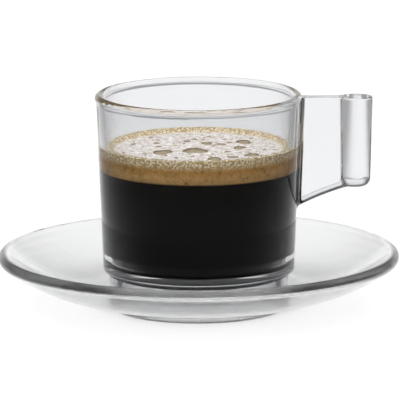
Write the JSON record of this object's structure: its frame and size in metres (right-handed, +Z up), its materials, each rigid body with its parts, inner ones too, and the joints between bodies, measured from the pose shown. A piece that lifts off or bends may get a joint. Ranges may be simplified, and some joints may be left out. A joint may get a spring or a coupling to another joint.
{
  "type": "glass espresso cup and saucer with coffee",
  "caption": "Clear glass espresso cup with a solid T-shaped handle on a dished glass saucer, poured with black espresso under a layer of crema.",
  "frame": {"origin": "on the table, under the middle of the saucer's foot ring", "axes": "+Z up along the axis of the cup and saucer; +X from that axis towards the handle"},
  "size_m": [0.12, 0.12, 0.0645],
  "materials": {
    "saucer_glass": "clear pressed glass, fire polished",
    "cup_glass": "clear pressed glass, fire polished",
    "coffee": "black espresso, wet and glossy",
    "crema": "fine tan foam with burst bubbles"
  },
  "bodies": {
    "root": {"saucer": "saucer_glass", "cup": "cup_glass", "coffee": "coffee", "crema": "crema"}
  },
  "joints": []
}
